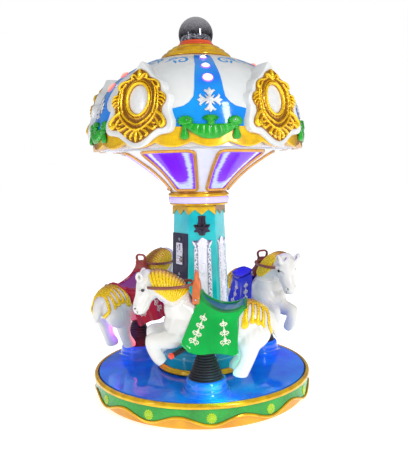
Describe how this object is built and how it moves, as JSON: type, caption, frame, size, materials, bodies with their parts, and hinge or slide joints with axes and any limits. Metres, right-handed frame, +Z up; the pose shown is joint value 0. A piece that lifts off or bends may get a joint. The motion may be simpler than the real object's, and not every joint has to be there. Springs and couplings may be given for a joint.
{
  "type": "three-horse mini carousel",
  "caption": "Small fairground carousel with horses on bellows round a six-sided column, under a domed canopy with five gabled shields and a mirror ball.",
  "frame": {"origin": "on the floor under the middle of the column", "axes": "+Z up along the column; -Y is the front, the column face to the right of the coin panel"},
  "size_m": [1.3766, 1.372, 2.323],
  "materials": {
    "yellow_gelcoat": "gloss",
    "green_gelcoat": "gloss",
    "gold_paint": "gloss gold paint on moulded plastic",
    "steel": "satin",
    "teal_gelcoat": "gloss",
    "turquoise_gelcoat": "gloss",
    "crown_yellow": "gloss",
    "indigo_enamel": "satin",
    "chrome": "polished",
    "light_band": "lit white diffuser",
    "white_gelcoat": "gloss",
    "purple_lens": "lit translucent",
    "orange_gelcoat": "gloss",
    "mirror_chrome": "mirror",
    "blue_gelcoat": "high gloss",
    "green_saddle": "high gloss",
    "blue_saddle": "high gloss",
    "red_saddle": "high gloss",
    "brown_nylon": "satin",
    "dark_nylon": "satin",
    "peg_rubber": "matt",
    "bellows_rubber": "satin"
  },
  "bodies": {
    "root": {"base_plinth": "yellow_gelcoat", "base_skirt": "green_gelcoat", "base_lip": "gold_paint", "base_rim": "gold_paint", "slew_ring": "steel", "hub_drum": "teal_gelcoat", "hub_ring": "gold_paint", "column": "turquoise_gelcoat", "column_crown": "crown_yellow", "coin_panel": "indigo_enamel", "coin_plate": "chrome", "capital_light_band": "light_band", "capital": "gold_paint", "funnel_frame": "white_gelcoat", "lamp_cone": "purple_lens", "roof_dome": "white_gelcoat", "roof_cap": "gold_paint", "ball_collar": "orange_gelcoat", "mirror_ball": "mirror_chrome", "cartouche_1": "gold_paint", "cartouche_2": "gold_paint", "cartouche_3": "gold_paint", "cartouche_4": "gold_paint", "cartouche_5": "gold_paint"},
    "turntable": {"deck": "blue_gelcoat", "horse_1_bellows": "bellows_rubber", "horse_2_bellows": "bellows_rubber", "horse_3_bellows": "bellows_rubber"},
    "horse_1": {"horse_1_body": "white_gelcoat", "horse_1_mane": "gold_paint", "horse_1_saddle": "green_saddle", "horse_1_handle": "brown_nylon", "horse_1_rein": "dark_nylon", "horse_1_foot_pegs": "peg_rubber"},
    "horse_2": {"horse_2_body": "white_gelcoat", "horse_2_mane": "gold_paint", "horse_2_saddle": "blue_saddle", "horse_2_handle": "brown_nylon", "horse_2_rein": "dark_nylon", "horse_2_foot_pegs": "peg_rubber"},
    "horse_3": {"horse_3_body": "white_gelcoat", "horse_3_mane": "gold_paint", "horse_3_saddle": "red_saddle", "horse_3_handle": "brown_nylon", "horse_3_rein": "dark_nylon", "horse_3_foot_pegs": "peg_rubber"}
  },
  "joints": [
    {"name": "turntable_spin", "type": "hinge", "parent": "root", "child": "turntable", "pos_m": [0, 0, 0.155], "axis": [0, 0, 1], "continuous": true},
    {"name": "horse_1_lift", "type": "slide", "parent": "turntable", "child": "horse_1", "axis": [0, 0, 1], "range_m": [-0.04, 0.018], "deforming": ["horse_1_bellows"]},
    {"name": "horse_2_lift", "type": "slide", "parent": "turntable", "child": "horse_2", "axis": [0, 0, 1], "range_m": [-0.058, 0], "deforming": ["horse_2_bellows"]},
    {"name": "horse_3_lift", "type": "slide", "parent": "turntable", "child": "horse_3", "axis": [0, 0, 1], "range_m": [-0.04, 0.018], "deforming": ["horse_3_bellows"]}
  ]
}
